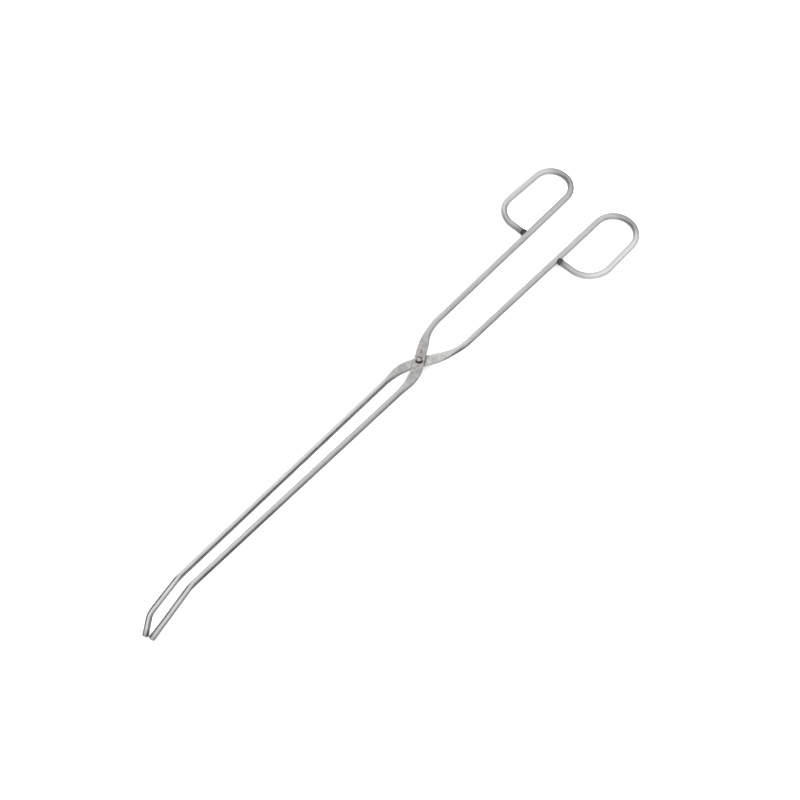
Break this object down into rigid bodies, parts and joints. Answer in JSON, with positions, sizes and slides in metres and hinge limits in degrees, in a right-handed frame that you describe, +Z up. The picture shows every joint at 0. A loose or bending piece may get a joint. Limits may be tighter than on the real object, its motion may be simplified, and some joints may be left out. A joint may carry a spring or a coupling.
{
  "type": "crucible tongs",
  "caption": "Long furnace crucible tongs of bent steel rod, with finger loops, a riveted flat crossing and downturned jaws that meet at the tips.",
  "frame": {"origin": "on the bench, under the centre of the closed tongs' bounding box", "axes": "+X towards the finger loops, +Z up from the bench; the tongs stand on the two loops and the two downturned tips"},
  "size_m": [0.6078, 0.1276, 0.0323],
  "materials": {
    "satin_steel": "drawn satin stainless rod, light grey",
    "rivet_steel": "smooth domed steel rivet, slightly darker",
    "weld_bead": "dark heat-tinted weld metal"
  },
  "bodies": {
    "lower_arm_body": {"lower_arm": "satin_steel", "pivot_rivet": "rivet_steel", "lower_arm_weld": "weld_bead"},
    "upper_arm_body": {"upper_arm": "satin_steel", "upper_arm_weld": "weld_bead"}
  },
  "joints": [
    {"name": "arm_pivot", "type": "hinge", "parent": "lower_arm_body", "child": "upper_arm_body", "pos_m": [0.05151, 0.00289, 0.01499], "axis": [0.0479, 0, 0.9989], "range_deg": [0, 60]}
  ]
}
